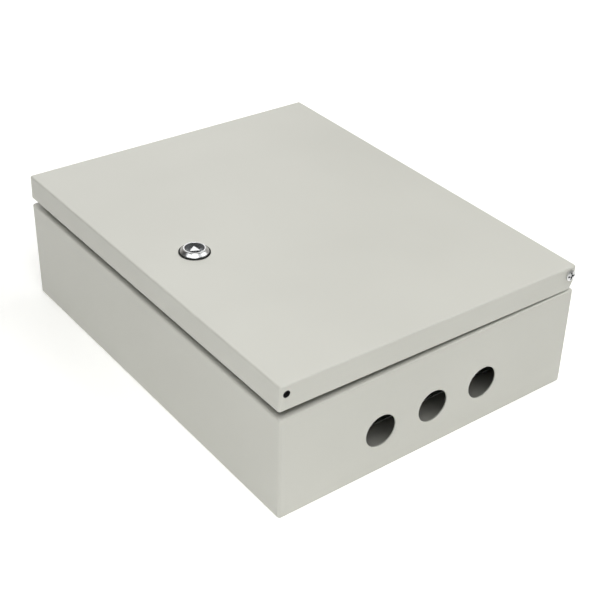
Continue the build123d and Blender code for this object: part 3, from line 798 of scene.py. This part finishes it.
# White acrylic, lit from below: its near glow is round and fades from a spot by the object's near corner, a
# sweep adds light that grows along the photo's line of sight, and far from the object the glow is no weaker
# than an even one.
FLOOR_TONE = "#F6F6F4"
FLOOR_ROUGHNESS = 0.9
FLOOR_HALF = 40.0
GLOW_SPOT = Vector((-0.22, -0.24, 0))
GLOW_REACH = 0.58
GLOW_STRENGTH = 0.48
SWEEP_REACH = 1.1
SWEEP_LEAD = 0.25
SWEEP_STRENGTH = 0.42
FAR_START = 1.1
FAR_END = 2.8
FAR_STRENGTH = 0.62
floor_corners = [(-FLOOR_HALF, -FLOOR_HALF, 0), (FLOOR_HALF, -FLOOR_HALF, 0), (FLOOR_HALF, FLOOR_HALF, 0),
                 (-FLOOR_HALF, FLOOR_HALF, 0)]
floor_mesh = bpy.data.meshes.new("floor")
floor_mesh.from_pydata(floor_corners, [], [(0, 1, 2, 3)])
floor = bpy.data.objects.new("floor", floor_mesh)
bpy.context.scene.collection.objects.link(floor)
light_table, tree, shader, place = new_finish("white_acrylic_light_table")
spread = add(tree, "ShaderNodeMapping", {"Vector": place, "Scale": (1 / GLOW_REACH,) * 3,
                                         "Location": -GLOW_SPOT / GLOW_REACH})
glow = add(tree, "ShaderNodeTexGradient", {"Vector": spread.outputs["Vector"]}, gradient_type="SPHERICAL")
lit = add(tree, "ShaderNodeMapRange", {"Value": glow.outputs["Fac"], "To Max": GLOW_STRENGTH})
away = add(tree, "ShaderNodeMapping", {"Vector": place, "Scale": (1 / SWEEP_REACH,) * 3,
                                       "Rotation": (0, 0, -radians(90 + VIEW_AZIMUTH)),
                                       "Location": (SWEEP_LEAD, 0, 0)})
sweep = add(tree, "ShaderNodeTexGradient", {"Vector": away.outputs["Vector"]})
near = add(tree, "ShaderNodeMath", {0: sweep.outputs["Fac"], 1: SWEEP_STRENGTH, 2: lit.outputs["Result"]},
           operation="MULTIPLY_ADD")
from_middle = add(tree, "ShaderNodeVectorMath", {0: place}, operation="LENGTH")
far = add(tree, "ShaderNodeMapRange", {"Value": from_middle.outputs["Value"], "From Min": FAR_START,
                                       "From Max": FAR_END, "To Max": FAR_STRENGTH})
strength = add(tree, "ShaderNodeMath", {0: near.outputs["Value"], 1: far.outputs["Result"]},
               operation="MAXIMUM")
tree.links.new(strength.outputs["Value"], shader.inputs["Emission Strength"])
shader.inputs["Emission Color"].default_value = linear(FLOOR_TONE)
shader.inputs["Base Color"].default_value = linear(FLOOR_TONE)
shader.inputs["Roughness"].default_value = FLOOR_ROUGHNESS
floor.data.materials.append(light_table)

# The backdrop is brightest low down on the object's far side, and fades out upwards and towards the camera's
# side, where the room is nearly dark.
BACKDROP_TONE = "#FFF8F0"
BACKDROP_STRENGTH = 0.5
BACKDROP_SPREAD = 0.7
BACKDROP_RISE = 0.8
ROOM_STRENGTH = 0.02
world = bpy.data.worlds.new("studio")
world.use_nodes = True
tree = world.node_tree
direction = add(tree, "ShaderNodeTexCoord").outputs["Generated"]
turned_away = add(tree, "ShaderNodeMapping", {"Vector": direction,
                                              "Rotation": (0, 0, -radians(90 + VIEW_AZIMUTH))})
split = add(tree, "ShaderNodeSeparateXYZ", {"Vector": turned_away.outputs["Vector"]})
behind = add(tree, "ShaderNodeMapRange", {"Value": split.outputs["X"], "From Max": BACKDROP_SPREAD,
                                          "To Min": ROOM_STRENGTH, "To Max": BACKDROP_STRENGTH})
fade = add(tree, "ShaderNodeMapRange", {"Value": split.outputs["Z"], "From Max": BACKDROP_RISE,
                                        "To Min": 1.0, "To Max": 0.0})
strength = add(tree, "ShaderNodeMath", {0: behind.outputs["Result"], 1: fade.outputs["Result"]},
               operation="MULTIPLY")
tree.links.new(strength.outputs["Value"], tree.nodes["Background"].inputs["Strength"])
tree.nodes["Background"].inputs["Color"].default_value = linear(BACKDROP_TONE)
bpy.context.scene.world = world


def soft_box(name, azimuth, elevation, distance, size, watts):
    """A square area light that faces the object, at a distance from it in the given direction."""
    lamp = bpy.data.lights.new(name, "AREA")
    lamp.size = size
    lamp.energy = watts
    made = bpy.data.objects.new(name, lamp)
    made.matrix_world = (Matrix.Rotation(radians(azimuth), 4, "Z")
                         @ Matrix.Rotation(radians(90 - elevation), 4, "X")
                         @ Matrix.Translation((0, 0, distance)))
    bpy.context.scene.collection.objects.link(made)


soft_box("key_box", azimuth=-33, elevation=56, distance=2.4, size=1.3, watts=30)
soft_box("camera_box", azimuth=-40, elevation=44, distance=2.4, size=1.0, watts=4)
soft_box("back_box", azimuth=163, elevation=38, distance=2.0, size=1.4, watts=8.5)
soft_box("left_box", azimuth=-95, elevation=50, distance=2.0, size=0.8, watts=4.5)
soft_box("right_box", azimuth=75, elevation=55, distance=2.0, size=1.8, watts=23)
